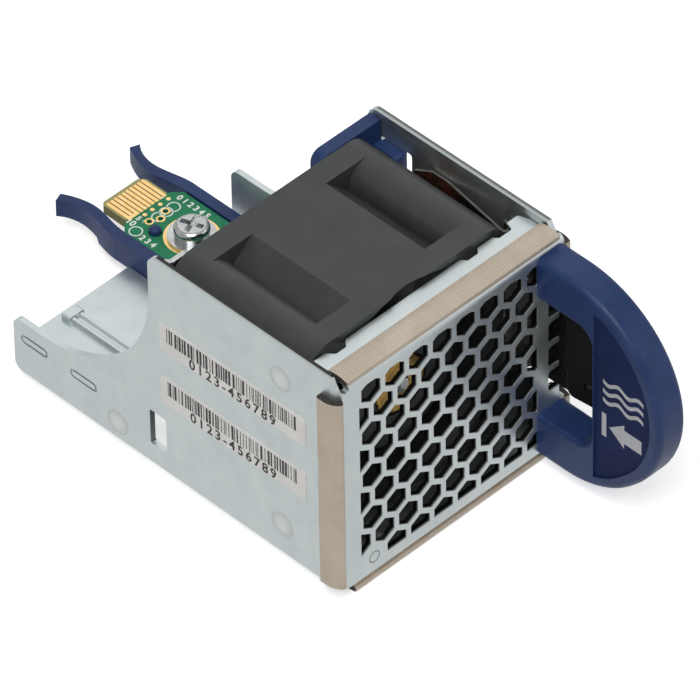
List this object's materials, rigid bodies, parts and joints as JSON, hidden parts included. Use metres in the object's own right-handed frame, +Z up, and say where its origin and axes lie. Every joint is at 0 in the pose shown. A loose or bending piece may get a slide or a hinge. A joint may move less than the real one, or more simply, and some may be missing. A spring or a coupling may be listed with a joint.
{
  "type": "hot-swap fan module",
  "caption": "Axial fan in a bent steel tray with honeycomb inlet, pull handle, side latch, shielding gaskets and a rear card-edge connector between guide arms.",
  "frame": {"origin": "middle of the module's width, outer face of the front plate, underside of the tray floor", "axes": "+X to the right seen from the front, +Y from the front plate to the rear connector, +Z up"},
  "size_m": [0.049, 0.1114, 0.043],
  "materials": {
    "zinc_sheet": "zinc plated sheet steel, satin",
    "nickel_plate": "nickel plated, satin",
    "spring_steel": "stainless spring strip",
    "conductive_fabric": "woven metallised fabric over foam",
    "blue_plastic": "moulded, fine satin",
    "black_plastic": "moulded, satin",
    "brass": "turned",
    "bearing_steel": "ground",
    "core_steel": "stacked laminations",
    "copper": "enamelled winding wire",
    "magnet": "bonded ferrite",
    "board_green": "solder mask over fibreglass",
    "chip_black": "moulded package",
    "gold_contact": "gold plated",
    "lead_red": "insulated wire",
    "lead_black": "insulated wire",
    "lead_yellow": "insulated wire",
    "lead_blue": "insulated wire"
  },
  "bodies": {
    "chassis": {"front_shell": "zinc_sheet", "base_tray": "zinc_sheet", "plate_rivet": "zinc_sheet", "rear_retainer": "nickel_plate", "gasket_top": "conductive_fabric", "gasket_left": "conductive_fabric", "gasket_right": "conductive_fabric", "gasket_bottom": "conductive_fabric", "pull_handle": "blue_plastic", "handle_screws": "nickel_plate", "fan_housing": "black_plastic", "bearing_sleeve": "brass", "front_bearing_ring": "bearing_steel", "rear_bearing_ring": "bearing_steel", "stator_core": "core_steel", "stator_windings": "copper", "motor_board": "board_green", "motor_chip": "chip_black", "latch_rivets": "nickel_plate", "rear_carrier": "blue_plastic", "screw_insert": "brass", "connector_board": "board_green", "contact_fingers": "gold_contact", "board_washer": "nickel_plate", "board_screw": "nickel_plate", "lead_red": "lead_red", "lead_black": "lead_black", "lead_yellow": "lead_yellow", "lead_blue": "lead_blue"},
    "rotor": {"impeller": "black_plastic", "rotor_yoke": "core_steel", "rotor_magnet": "magnet", "rotor_boss": "brass", "rotor_shaft": "bearing_steel", "bearing_inner_races": "bearing_steel", "preload_spring": "spring_steel", "shaft_clip": "spring_steel"},
    "latch": {"latch_spring": "spring_steel", "thumb_tab": "black_plastic"}
  },
  "joints": [
    {"name": "rotor_spin", "type": "hinge", "parent": "chassis", "child": "rotor", "pos_m": [-0.0017, 0.0213, 0.021], "axis": [0, 1, 0], "continuous": true},
    {"name": "latch_flex", "type": "hinge", "parent": "chassis", "child": "latch", "pos_m": [0.0215, 0.022, 0.023], "axis": [0, 0, -1], "range_deg": [0, 2.5], "stiffness_Nm_per_rad": 3, "springref_deg": -1.15}
  ]
}
